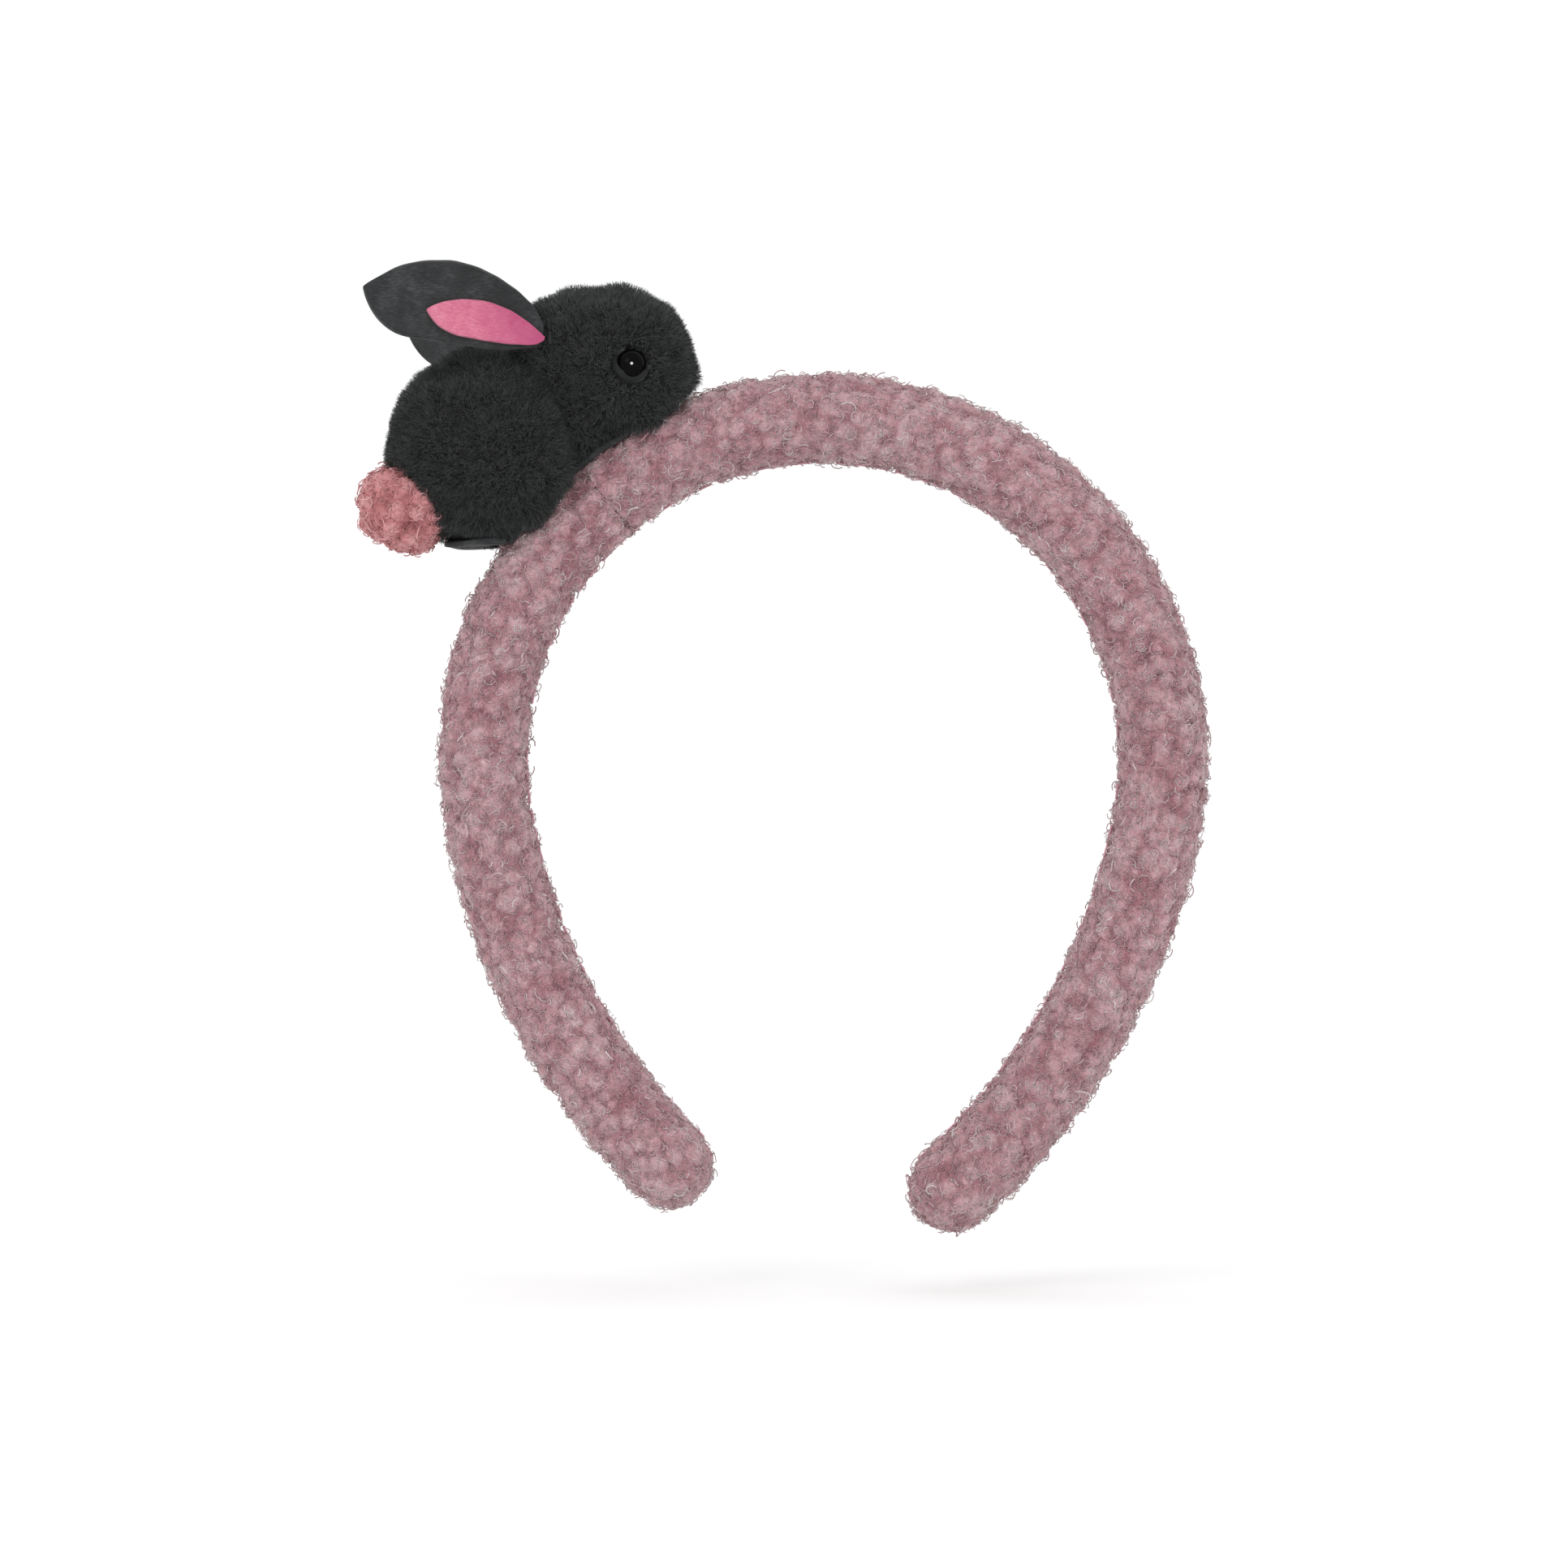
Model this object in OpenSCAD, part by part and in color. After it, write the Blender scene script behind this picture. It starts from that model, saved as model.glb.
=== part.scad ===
// Padded fleece headband with a glued-on pompom rabbit.
// The band lies in the XZ plane and is worn with +Z up.
// The origin is where the inside of the crown rests on top of the head.
// The rabbit sits on the band's outer side, left of the top, and faces +X.

/* [Band] */
// Radius of the band's centre line over the crown
crown_r = 68.3; // [60:0.1:80]
// Degrees that the crown's curve runs on below its own centre
crown_past = 10; // [5:1:15]
// Radius of the flatter curve of each arm
arm_r = 130; // [110:1:150]
// Degrees that the left arm's curve turns through
left_turn = 34; // [30:0.5:40]
// Degrees that the right arm's curve turns through
right_turn = 37.5; // [30:0.5:40]
// Thickness of the covered band, pile included
band_t = 18.6; // [16:0.2:24]
// Flat part in the middle of the band's width, front to back
band_flat = 2.4; // [0.6:0.2:8]
// Thickness of the fleece, backing and pile
fleece_t = 2.4; // [1.6:0.1:3.2]

/* [Plastic hoop] */
// Width of the strip
hoop_w = 10; // [6:0.5:12]
// Thickness of the strip
hoop_t = 2; // [1.4:0.1:2.6]
// Degrees of arm between the strip's tip and the end of its foam
hoop_inset = 2; // [1:0.5:3]

/* [Flexing] */
// Degrees from the top of the band to each flex point
flex_at = 65; // [58:1:72]
// Radius of the round parting face about a flex point
knuckle_r = 12; // [11:0.5:16]
// Gap at the parting face
knuckle_gap = 0.35; // [0.3:0.05:0.6]

/* [Seam] */
// Length of one stitch
stitch_l = 3; // [2:0.2:4]
// Radius of the sewing thread
thread_r = 0.35; // [0.2:0.05:0.5]
// Distance from one stitch to the next
stitch_pitch = 4; // [3.5:0.25:6]

/* [Rabbit] */
// Radius of the body pompom
body_r = 19.5; // [17:0.5:22]
// Radius of the front of the head pompom
head_r = 16; // [14:0.5:19]
// Radius of the back of the head pompom
nape_r = 13.4; // [11:0.2:15]
// Radius of the tail pompom
tail_r = 8.6; // [6:0.2:10]
// Radius of each bead eye
eye_r = 3.1; // [2:0.1:4]
// Thickness of the felt base
base_t = 1.4; // [0.8:0.1:2]
// Thickness of the hot glue
glue_t = 0.7; // [0.4:0.1:1]

/* [Ears] */
// Length of an ear
ear_l = 40; // [30:1:46]
// Widest of an ear, measured straight across the cup
ear_w = 18.8; // [14:0.2:24]
// Radius of the cup along the ear
ear_cup = 14; // [12:0.5:20]
// Thickness of the ear felt
ear_t = 1.2; // [0.8:0.1:2]
// Length of the pink lining
lining_l = 26; // [18:1:28]
// Width of the pink lining
lining_w = 8.6; // [6:0.2:10]
// Thickness of the pink lining
lining_t = 0.8; // [0.5:0.1:1.2]

/* [Hidden] */
$fn = 96;

// Band: the crown is one circle, and each arm a flatter one that runs on from it.
band_half = band_t / 2;
band_side = band_flat / 2;
band_w = band_t + band_flat;
foam_half = band_half - fleece_t;
crown_z = band_half - crown_r;
flex_angle = 90 - flex_at;
knuckle_span = 16;  // degrees of crown that surely hold the round end of an arm
foam_past = 0.6;     // degrees that the foam runs on into the round end of the cover
end_step = 0.15;    // how much smaller the round end is than the band
tip_round = 0.6;    // radius of the strip's tip, as a part of its width

// Colours
dark_fur = [0.15, 0.17, 0.17];
dark_felt = [0.22, 0.24, 0.25];
pink_felt = [0.86, 0.40, 0.58];
pink_fleece = [0.80, 0.60, 0.64];
pink_pile = [0.75, 0.46, 0.49];
foam_white = [0.93, 0.92, 0.88];
hoop_white = [0.85, 0.85, 0.85];
glue_clear = [0.88, 0.87, 0.80];

stitch_lean = 35;

// Rabbit: each pompom's place follows from the band's crown and the pompoms' own sizes.
pile_sink = 4.4;   // how deep the parted pile of a pompom lets it sit over the band
body_angle = 137.27;  // crown angle of the body
body_out = crown_r + band_half + body_r - pile_sink;
face_out = crown_r + band_half + head_r - pile_sink;
body_to_face = body_r + head_r - 5.04;  // the two pompoms share this much pile
face_angle = body_angle - acos((body_out * body_out + face_out * face_out - body_to_face * body_to_face)
    / (2 * body_out * face_out));
function over_crown(angle, out) = [out * cos(angle), 0, crown_z + out * sin(angle)];
body_at = over_crown(body_angle, body_out);
face_at = over_crown(face_angle, face_out);
nape_at = face_at + head_r * [-8.5, 0, 2.3] / 16;
tail_at = body_at + (body_r + tail_r - 7.8) * [-15.5, -4, -12.5] / norm([15.5, 4, 12.5]);
tail_core_at = tail_at + 3.5 * (tail_at - body_at) / norm(tail_at - body_at);
base_from = face_angle - 6;  // crown angle of the front end of the felt base
base_wrap = 7.4;   // the felt covers what lies further out than this from the centre line
foot_r = 9.5;      // radius of the round felt foot, which lies level under the body
foot_at = body_at + [1.6, 0, -body_r - 1];
base_to = 179.4 - asin((foot_at[2] - crown_z) / (crown_r + band_half));  // its rear end, against the foot
glue_wrap = 8.5;
binding_r = 2.4;   // radius of the thread ring that ties a pompom
binding_t = 0.9;   // thickness of that ring
eye_look = [4.3, 15.9, -0.5] / norm([4.3, 15.9, -0.5]);
eye_sink = 1.3;    // how deep the middle of a bead sits below the pile
shank_r = 0.75;
shank_l = 8;

// Ears: each is hinged at its root, in a pocket of the head's pile.
ear_root = nape_at + nape_r * [-4.9, 11.7, 2.6] / 13.4;
pocket_r = 3.4;
ear_root_gap = 0.6;  // from the pivot to the felt
ear_glue_gap = 0.9;  // from the pivot to the glue behind it
ear_glue_depth = 1.5;  // from the pivot in to the middle of the ball of glue
ear_glue_r = 1.8;
ear_roll = 28.7;
root_to_body = norm([ear_root[0] - body_at[0], ear_root[2] - body_at[2]]);
over_body = asin(body_r / root_to_body) - atan2(ear_root[2] - body_at[2], ear_root[0] - body_at[0]);
right_rise = over_body + 22.7;  // degrees that each ear is tipped up from skimming the body
right_splay = 18;
left_rise = over_body + 17;
left_splay = 38;

// ---------- band ----------

// Flat-sided round section: X is away from the band's centre, Y is front to back.
module band_section(half) {
    for (s = [-1, 1]) translate([0, s * band_side]) circle(r = half);
    square([2 * half, 2 * band_side], center = true);
}

module hoop_section() {
    square([hoop_t, hoop_w], center = true);
}

// Moves children round a circle of radius r, to an angle above where they are.
module swing(r, angle) {
    translate([-r, 0, 0]) rotate([0, -angle, 0]) translate([r, 0, 0]) children();
}

// Sweeps a section up round a circle of radius r, from where it is.
module sweep(r, angle) {
    translate([-r, 0, 0]) rotate([90, 0, 0]) rotate_extrude(angle = angle) translate([r, 0]) children();
}

// Places children on the centre line of the crown: X points out, Z along the band.
module on_crown(angle) {
    translate([crown_r, 0, crown_z]) swing(crown_r, angle) children();
}

module crown_sweep(a, b) {
    on_crown(a) sweep(crown_r, b - a) children();
}

// Places children on the centre line of the arm's curve, an angle below the end of the crown's.
module on_arm(angle) {
    on_crown(-crown_past) swing(arm_r, -angle) children();
}

// A round block across the band, whose face is the parting face about a flex point.
module knuckle(r) {
    rotate([90, 0, 0]) cylinder(r = r, h = band_w + 4, center = true);
}

// The crown between the two flex points, hollowed out to each arm's round end.
module crown_run() {
    difference() {
        crown_sweep(flex_angle, 180 - flex_angle) children();
        for (a = [flex_angle, 180 - flex_angle]) on_crown(a) knuckle(knuckle_r + knuckle_gap);
    }
}

// The right arm's two curves, drawn from where they meet.
module arm_sweeps(turn) {
    on_crown(-crown_past) {
        sweep(crown_r, crown_past + flex_angle + knuckle_span) children();
        mirror([0, 0, 1]) sweep(arm_r, turn) children();
    }
}

// Cuts the top of the right arm round.
module arm_top() {
    on_crown(flex_angle) difference() {
        sweep(crown_r, 2 * knuckle_span) square(2 * band_w, center = true);
        knuckle(knuckle_r);
    }
}

module hoop_arm(turn) {
    tip_r = tip_round * hoop_w;
    difference() {
        arm_sweeps(turn - hoop_inset) hoop_section();
        arm_top();
        on_arm(turn - hoop_inset) difference() {
            translate([0, 0, -hoop_w / 2]) cube(2 * hoop_w, center = true);
            translate([0, 0, tip_r]) rotate([0, 90, 0]) cylinder(r = tip_r, h = 3 * hoop_w, center = true);
            translate([0, 0, hoop_w + tip_r]) cube(2 * hoop_w, center = true);
        }
    }
}

module foam_arm(turn) {
    difference() {
        arm_sweeps(turn + foam_past) band_section(foam_half);
        arm_sweeps(turn - hoop_inset) hoop_section();
        arm_top();
    }
}

// The gathered end of the cover: a round bar across the band with a ball at each end.
module round_end(half) {
    for (s = [-1, 1]) translate([0, s * band_side, 0]) sphere(r = half);
    rotate([90, 0, 0]) cylinder(r = half, h = 2 * band_side, center = true);
}

module cover_arm(turn) {
    difference() {
        union() {
            arm_sweeps(turn) band_section(band_half);
            on_arm(turn) round_end(band_half - end_step);
        }
        arm_sweeps(turn + foam_past) band_section(foam_half);
        arm_top();
    }
}

// ---------- thread ----------

// One whip stitch, half sunk in the band's inner face.
module stitch() {
    translate([-band_half, 0, 0]) rotate([stitch_lean, 0, 0])
        cylinder(r = thread_r, h = stitch_l, center = true, $fn = 24);
}

// Degrees from stitch to stitch on a curve of radius r.
function stitch_step(r) = stitch_pitch / (r - band_half) * 180 / PI;

module seam_over_crown() {
    first = flex_angle + knuckle_span;
    for (a = [first : stitch_step(crown_r) : 180 - first]) on_crown(a) stitch();
}

module seam_along_arm(turn) {
    for (a = [flex_angle : -stitch_step(crown_r) : -crown_past]) on_crown(a) stitch();
    for (a = [stitch_step(arm_r) : stitch_step(arm_r) : turn]) on_arm(a) stitch();
}

// Three stitches that close the gathered end, side by side over its nose.
module end_stitches(turn) {
    for (s = [-1, 0, 1]) on_arm(turn) translate([0, s * band_side, end_step - band_half])
        rotate([0, 90, 0]) cylinder(r = thread_r, h = stitch_l, center = true, $fn = 24);
}

// ---------- rabbit ----------

// A saddle of sheet on the band's outer side, from half thickness inner to outer.
module saddle(inner, outer, wrap, a, b) {
    crown_sweep(a, b) difference() {
        intersection() {
            band_section(outer);
            translate([wrap, -band_w]) square(2 * band_w);
        }
        band_section(inner);
    }
}

// Everything between the pompoms and the fleece, which the pile is parted around.
module saddle_space() {
    crown_sweep(90, 180) band_section(band_half + base_t + glue_t);
}

module binding(place) {
    translate(place) rotate_extrude() translate([binding_r, 0]) circle(d = binding_t, $fn = 32);
}

// Two balls that share most of their depth: the face, and the nape behind it.
module head_egg() {
    translate(face_at) sphere(r = head_r);
    translate(nape_at) sphere(r = nape_r);
}

module eye_axis(side) {
    translate(face_at) mirror([0, side < 0 ? 0 : 1, 0]) mirror([0, 1, 0])
        rotate([0, 0, atan2(eye_look[1], eye_look[0])]) rotate([0, acos(eye_look[2]), 0]) children();
}

// A bead on a shank; its axis runs out from the middle of the face.
module eye(side) {
    eye_axis(side) translate([0, 0, head_r - eye_sink]) {
        sphere(r = eye_r, $fn = 64);
        translate([0, 0, -shank_l]) cylinder(r = shank_r, h = shank_l, $fn = 32);
    }
}

module ear_place(side, rise, splay) {
    mirror([0, side < 0 ? 0 : 1, 0]) translate([ear_root[0], -ear_root[1], ear_root[2]])
        rotate([0, 0, splay]) rotate([0, 180 + rise, 0]) rotate([90, 0, 0]) children();
}

// Pointed at both ends: what two equal circles share.
module leaf(length, width) {
    r = (length * length + width * width) / (4 * width);
    translate([length / 2, 0]) intersection() {
        translate([0, r - width / 2]) circle(r = r);
        translate([0, width / 2 - r]) circle(r = r);
    }
}

// A sheet cut to a leaf and cupped along its length; inner is the radius of its hollow side.
module cupped_leaf(length, width, inner, thickness) {
    intersection() {
        translate([0, 0, ear_cup]) rotate([0, 90, 0]) difference() {
            cylinder(r = inner + thickness, h = length + 4);
            translate([0, 0, -1]) cylinder(r = inner, h = length + 6);
        }
        translate([ear_root_gap, 0, -ear_t - 1]) linear_extrude(ear_cup) leaf(length - ear_root_gap, width);
    }
}

module ear_felt(side, rise, splay) {
    ear_place(side, rise, splay) rotate([ear_roll, 0, 0]) cupped_leaf(ear_l, ear_w, ear_cup, ear_t);
}

module ear_lining(side, rise, splay) {
    ear_place(side, rise, splay) rotate([ear_roll, 0, 0])
        cupped_leaf(lining_l, lining_w, ear_cup - lining_t, lining_t);
}

module ear_pocket(side) {
    translate([ear_root[0], side * ear_root[1], ear_root[2]]) sphere(r = pocket_r);
}

// A ball of glue deep in the pocket, cut flat where it faces the ear's root.
module ear_glue(side) {
    root = [ear_root[0], side * ear_root[1], ear_root[2]];
    inward = (nape_at - root) / norm(nape_at - root);
    intersection() {
        translate(root + ear_glue_depth * inward) sphere(r = ear_glue_r);
        translate([root[0] + ear_glue_gap, root[1] - pocket_r, root[2] - pocket_r]) cube(2 * pocket_r);
    }
}

// ---------- nodes ----------

module hoop_crown() { color(hoop_white) crown_run() hoop_section(); }
module hoop_left_arm() { color(hoop_white) mirror([1, 0, 0]) hoop_arm(left_turn); }
module hoop_right_arm() { color(hoop_white) hoop_arm(right_turn); }

module foam_crown() {
    color(foam_white) crown_run() difference() {
        band_section(foam_half);
        hoop_section();
    }
}

module foam_left_arm() { color(foam_white) mirror([1, 0, 0]) foam_arm(left_turn); }
module foam_right_arm() { color(foam_white) foam_arm(right_turn); }

module cover_crown() {
    color(pink_fleece) crown_run() difference() {
        band_section(band_half);
        band_section(foam_half);
    }
}

module cover_left_arm() { color(pink_fleece) mirror([1, 0, 0]) cover_arm(left_turn); }
module cover_right_arm() { color(pink_fleece) cover_arm(right_turn); }

module seam_crown() { color(pink_pile) seam_over_crown(); }
module seam_left_arm() { color(pink_pile) mirror([1, 0, 0]) seam_along_arm(left_turn); }
module seam_right_arm() { color(pink_pile) seam_along_arm(right_turn); }
module end_stitches_left() { color(pink_pile) mirror([1, 0, 0]) end_stitches(left_turn); }
module end_stitches_right() { color(pink_pile) end_stitches(right_turn); }

module felt_base() { color(dark_felt) saddle(band_half, band_half + base_t, base_wrap, base_from, base_to); }

module felt_foot() {
    color(dark_felt) difference() {
        translate(foot_at) cylinder(r = foot_r, h = base_t);
        crown_sweep(90, 180) band_section(band_half + base_t);
    }
}

module base_glue() {
    color(glue_clear) difference() {
        for (at = [[face_angle - 4, face_angle + 6], [body_angle - 7, base_to - 1]])
            saddle(band_half + base_t, band_half + base_t + glue_t, glue_wrap, at[0], at[1]);
        translate(foot_at) cylinder(r = foot_r, h = base_t);
    }
}

module body_pompom() {
    color(dark_fur) difference() {
        translate(body_at) sphere(r = body_r);
        saddle_space();
        translate(foot_at) cylinder(r = 2 * foot_r, h = base_t);
        binding(body_at);
    }
}

module head_pompom() {
    color(dark_fur) difference() {
        head_egg();
        saddle_space();
        translate(body_at) sphere(r = body_r + glue_t);
        binding(face_at);
        for (side = [-1, 1]) {
            eye(side);
            ear_pocket(side);
        }
    }
}

module tail_pompom() {
    color(pink_pile) difference() {
        translate(tail_at) sphere(r = tail_r);
        translate(body_at) sphere(r = body_r + glue_t);
        binding(tail_core_at);
    }
}

// A dab of glue on the body pompom, on the side that faces a neighbour.
module body_dab(towards, r) {
    way = towards - body_at;
    translate(body_at) rotate([0, acos(way[2] / norm(way)), atan2(way[1], way[0])]) difference() {
        intersection() {
            sphere(r = body_r + glue_t);
            cylinder(r = r, h = 2 * body_r);
        }
        sphere(r = body_r);
    }
}

module neck_glue() { color(glue_clear) body_dab(nape_at, 6); }
module tail_glue() { color(glue_clear) body_dab(tail_at, 4); }
module body_binding() { color(dark_felt) binding(body_at); }
module head_binding() { color(dark_felt) binding(face_at); }
module tail_binding() { color(pink_pile) binding(tail_core_at); }
module eye_right() { color("black") eye(-1); }
module eye_left() { color("black") eye(1); }
module ear_felt_right() { color(dark_felt) ear_felt(-1, right_rise, right_splay); }
module ear_lining_right() { color(pink_felt) ear_lining(-1, right_rise, right_splay); }
module ear_glue_right() { color(glue_clear) ear_glue(-1); }
module ear_felt_left() { color(dark_felt) ear_felt(1, left_rise, left_splay); }
module ear_lining_left() { color(pink_felt) ear_lining(1, left_rise, left_splay); }
module ear_glue_left() { color(glue_clear) ear_glue(1); }

hoop_crown();
hoop_left_arm();
hoop_right_arm();
foam_crown();
foam_left_arm();
foam_right_arm();
cover_crown();
cover_left_arm();
cover_right_arm();
seam_crown();
seam_left_arm();
seam_right_arm();
end_stitches_left();
end_stitches_right();
felt_base();
felt_foot();
base_glue();
body_pompom();
body_binding();
head_pompom();
head_binding();
tail_pompom();
tail_binding();
neck_glue();
tail_glue();
eye_right();
eye_left();
ear_felt_right();
ear_lining_right();
ear_glue_right();
ear_felt_left();
ear_lining_left();
ear_glue_left();
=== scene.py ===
import math
import bmesh
import bpy
import numpy as np
from mathutils import Matrix, Vector, noise as smooth_random


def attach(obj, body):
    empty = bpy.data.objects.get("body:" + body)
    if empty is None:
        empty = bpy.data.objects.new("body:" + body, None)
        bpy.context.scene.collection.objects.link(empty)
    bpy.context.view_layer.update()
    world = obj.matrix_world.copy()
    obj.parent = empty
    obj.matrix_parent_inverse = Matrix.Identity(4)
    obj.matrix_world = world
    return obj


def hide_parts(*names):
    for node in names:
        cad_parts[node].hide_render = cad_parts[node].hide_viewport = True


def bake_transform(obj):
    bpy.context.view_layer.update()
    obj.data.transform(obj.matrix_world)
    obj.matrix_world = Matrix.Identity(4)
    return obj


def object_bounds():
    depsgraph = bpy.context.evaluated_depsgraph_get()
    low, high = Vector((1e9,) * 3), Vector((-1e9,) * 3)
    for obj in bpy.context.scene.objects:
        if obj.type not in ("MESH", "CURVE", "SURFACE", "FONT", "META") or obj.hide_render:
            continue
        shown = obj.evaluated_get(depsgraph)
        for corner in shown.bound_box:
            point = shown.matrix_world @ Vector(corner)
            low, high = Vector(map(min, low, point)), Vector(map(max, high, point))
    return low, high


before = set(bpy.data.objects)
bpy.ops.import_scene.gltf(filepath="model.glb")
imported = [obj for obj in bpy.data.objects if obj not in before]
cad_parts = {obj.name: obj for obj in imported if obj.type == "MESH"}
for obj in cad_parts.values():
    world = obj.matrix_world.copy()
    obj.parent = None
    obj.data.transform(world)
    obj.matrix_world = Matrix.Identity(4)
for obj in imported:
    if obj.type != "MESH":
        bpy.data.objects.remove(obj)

cad_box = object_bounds()


# ---------------------------------------------------------------- hoop
# The spring of the band is a flat strip of white polypropylene, moulded in one piece.
# It is sealed inside the foam, and is split here only where the band flexes.

def put(tree, kind, inputs=None, **settings):
    """Adds a node. Each input is a value, or the socket that feeds it."""
    made = tree.nodes.new(kind)
    for name, value in settings.items():
        setattr(made, name, value)
    for name, value in (inputs or {}).items():
        if isinstance(value, bpy.types.NodeSocket):
            tree.links.new(value, made.inputs[name])
        else:
            made.inputs[name].default_value = value
    return made


def material(name, **shader_values):
    """A new material and its tree, shader and Object coordinates."""
    made = bpy.data.materials.new(name)
    made.use_nodes = True
    tree = made.node_tree
    shader = tree.nodes["Principled BSDF"]
    for socket, value in shader_values.items():
        shader.inputs[socket.replace("_", " ")].default_value = value
    place = put(tree, "ShaderNodeTexCoord").outputs["Object"]
    return made, tree, shader, place


def ramp(tree, factor, *stops):
    """Colours at places along 0 to 1."""
    made = put(tree, "ShaderNodeValToRGB", {"Fac": factor})
    marks = made.color_ramp.elements
    while len(marks) < len(stops):
        marks.new(0.5)
    for mark, (at, colour) in zip(marks, stops):
        mark.position = at
        mark.color = (*colour, 1)
    return made.outputs["Color"]


def noise(tree, place, scale, detail=3.0, roughness=0.55):
    return put(tree, "ShaderNodeTexNoise", {"Vector": place, "Scale": scale, "Detail": detail,
                                            "Roughness": roughness}).outputs["Fac"]


def colour_from(tree, shader, factor, *stops):
    """Colours the shader by a ramp."""
    tree.links.new(ramp(tree, factor, *stops), shader.inputs["Base Color"])


def bump(tree, shader, height, strength, distance):
    made = put(tree, "ShaderNodeBump", {"Height": height, "Strength": strength, "Distance": distance})
    tree.links.new(made.outputs["Normal"], shader.inputs["Normal"])


def finish_nodes(finish, *names):
    """Gives CAD nodes a material."""
    for name in names:
        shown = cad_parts[name]
        shown.data.materials.clear()
        shown.data.materials.append(finish)


moulded_white, tree, shader, place = material("moulded_white", Roughness=0.45)
flow = noise(tree, place, 260)
colour_from(tree, shader, flow, (0.3, (0.70, 0.70, 0.68)), (0.7, (0.80, 0.80, 0.79)))
bump(tree, shader, flow, 0.15, 0.0001)
finish_nodes(moulded_white, "hoop_crown", "hoop_left_arm", "hoop_right_arm")


# ---------------------------------------------------------------- fleece cover
# A tube of pink teddy fleece is pulled over the foam and gathered shut at each tip.
# Its knitted loops stand up in soft lobes a few millimetres across, with stray curls at the edges.

crown_r = 0.0683
arm_r = 0.130
crown_z = 0.0093 - crown_r
crown_turn = math.radians(100)
arm_turn = {-1: math.radians(34), 1: math.radians(37.5)}
tip_fleece = {-1: 0.0024, 1: 0.0014}
band_deep = 0.0086
band_wide = 0.0098
backing_step = 0.0005
sides = {-1: "left", 1: "right"}


def band_frame(side, run):
    """The centre line's point, outward direction and run direction, at a distance from the crown's top."""
    crown_run = crown_r * crown_turn
    if run <= crown_run:
        turn, radius, middle = run / crown_r, crown_r, Vector((0, 0, crown_z))
    else:
        turn, radius = crown_turn + (run - crown_run) / arm_r, arm_r
        back = (arm_r - crown_r)
        middle = Vector((-back * math.sin(crown_turn), 0, crown_z - back * math.cos(crown_turn)))
    out = Vector((math.sin(turn), 0, math.cos(turn)))
    on = Vector((math.cos(turn), 0, -math.sin(turn)))
    point = middle + out * radius
    if side < 0:
        for v in (point, out, on):
            v.x = -v.x
    return point, out, on


def band_length(side):
    """The centre line's length from the crown's top to the middle of a tip."""
    return crown_r * crown_turn + arm_r * arm_turn[side] + tip_fleece[side]


def placed_in_scene(name, data):
    made = bpy.data.objects.new(name, data)
    bpy.context.scene.collection.objects.link(made)
    return made


def new_mesh(name, points, edges, faces):
    mesh = bpy.data.meshes.new(name)
    mesh.from_pydata([tuple(p) for p in points], edges, faces)
    return mesh


def mesh_piece(name, points, faces, finish):
    """A smooth closed piece, its doubled points merged and its faces turned outward."""
    mesh = new_mesh(name, points, [], faces)
    mesh.materials.append(finish)
    work = bmesh.new()
    work.from_mesh(mesh)
    bmesh.ops.remove_doubles(work, verts=work.verts, dist=1e-6)
    bmesh.ops.recalc_face_normals(work, faces=work.faces)
    work.to_mesh(mesh)
    work.free()
    mesh.shade_smooth()
    return placed_in_scene(name, mesh)


def tube_of_rings(name, rings, finish):
    """A closed skin over rings of equal count, from a first ring to a last, each end filled."""
    count = len(rings[0])
    points = [p for ring in rings for p in ring]
    faces = []
    for i in range(len(rings) - 1):
        for j in range(count):
            k = (j + 1) % count
            faces.append((i * count + j, i * count + k, (i + 1) * count + k, (i + 1) * count + j))
    for i in (0, len(rings) - 1):
        points.append(sum(rings[i], Vector()) / count)
        middle = len(points) - 1
        faces += [(middle, i * count + (j + 1) % count, i * count + j) for j in range(count)]
    return mesh_piece(name, points, faces, finish)


# The cover's two lengths are joined under the rabbit, this far round from the top of the band.
join_at = crown_r * math.radians(40)


def cover_rings(side):
    """Rings round one length of the band, and over the puckered end where the cover is drawn shut."""
    around = int(2 * math.pi * band_wide / backing_step)
    length = band_length(side)
    rings = []
    start = -side * join_at
    runs = int((length - start) / backing_step)
    cap_rings, drawn_hole, gathers, gather_deep = 14, 0.015, 9, 0.10
    for i in range(runs + 1 + cap_rings):
        over = max(0, i - runs) / cap_rings * math.pi / 2
        run = start + (length - start) * min(i, runs) / runs
        point, out, on = band_frame(side, run)
        shrink = math.cos(over) * (1 - drawn_hole) + drawn_hole
        ring = []
        for j in range(around):
            a = 2 * math.pi * j / around
            pucker = 1 - gather_deep * (1 - shrink) * (1 + math.cos(gathers * a)) / 2
            deep = band_deep * math.cos(a) * shrink * pucker
            wide = band_wide * math.sin(a) * shrink * pucker
            ring.append(point + out * deep + Vector((0, wide, 0)) + on * band_deep * math.sin(over))
        rings.append(ring)
    return rings


def new_tree(name, **inputs):
    """A Geometry Nodes tree with named inputs, its input sockets by name, and its output node."""
    tree = bpy.data.node_groups.new(name, "GeometryNodeTree")
    tree.interface.new_socket("Geometry", in_out="INPUT", socket_type="NodeSocketGeometry")
    for label, kind in inputs.items():
        tree.interface.new_socket(label.replace("_", " "), in_out="INPUT", socket_type="NodeSocket" + kind)
    tree.interface.new_socket("Geometry", in_out="OUTPUT", socket_type="NodeSocketGeometry")
    return tree, put(tree, "NodeGroupInput").outputs, put(tree, "NodeGroupOutput")


def maths(tree, operation, a, b=0.0):
    return put(tree, "ShaderNodeMath", {0: a, 1: b}, operation=operation).outputs[0]


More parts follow.
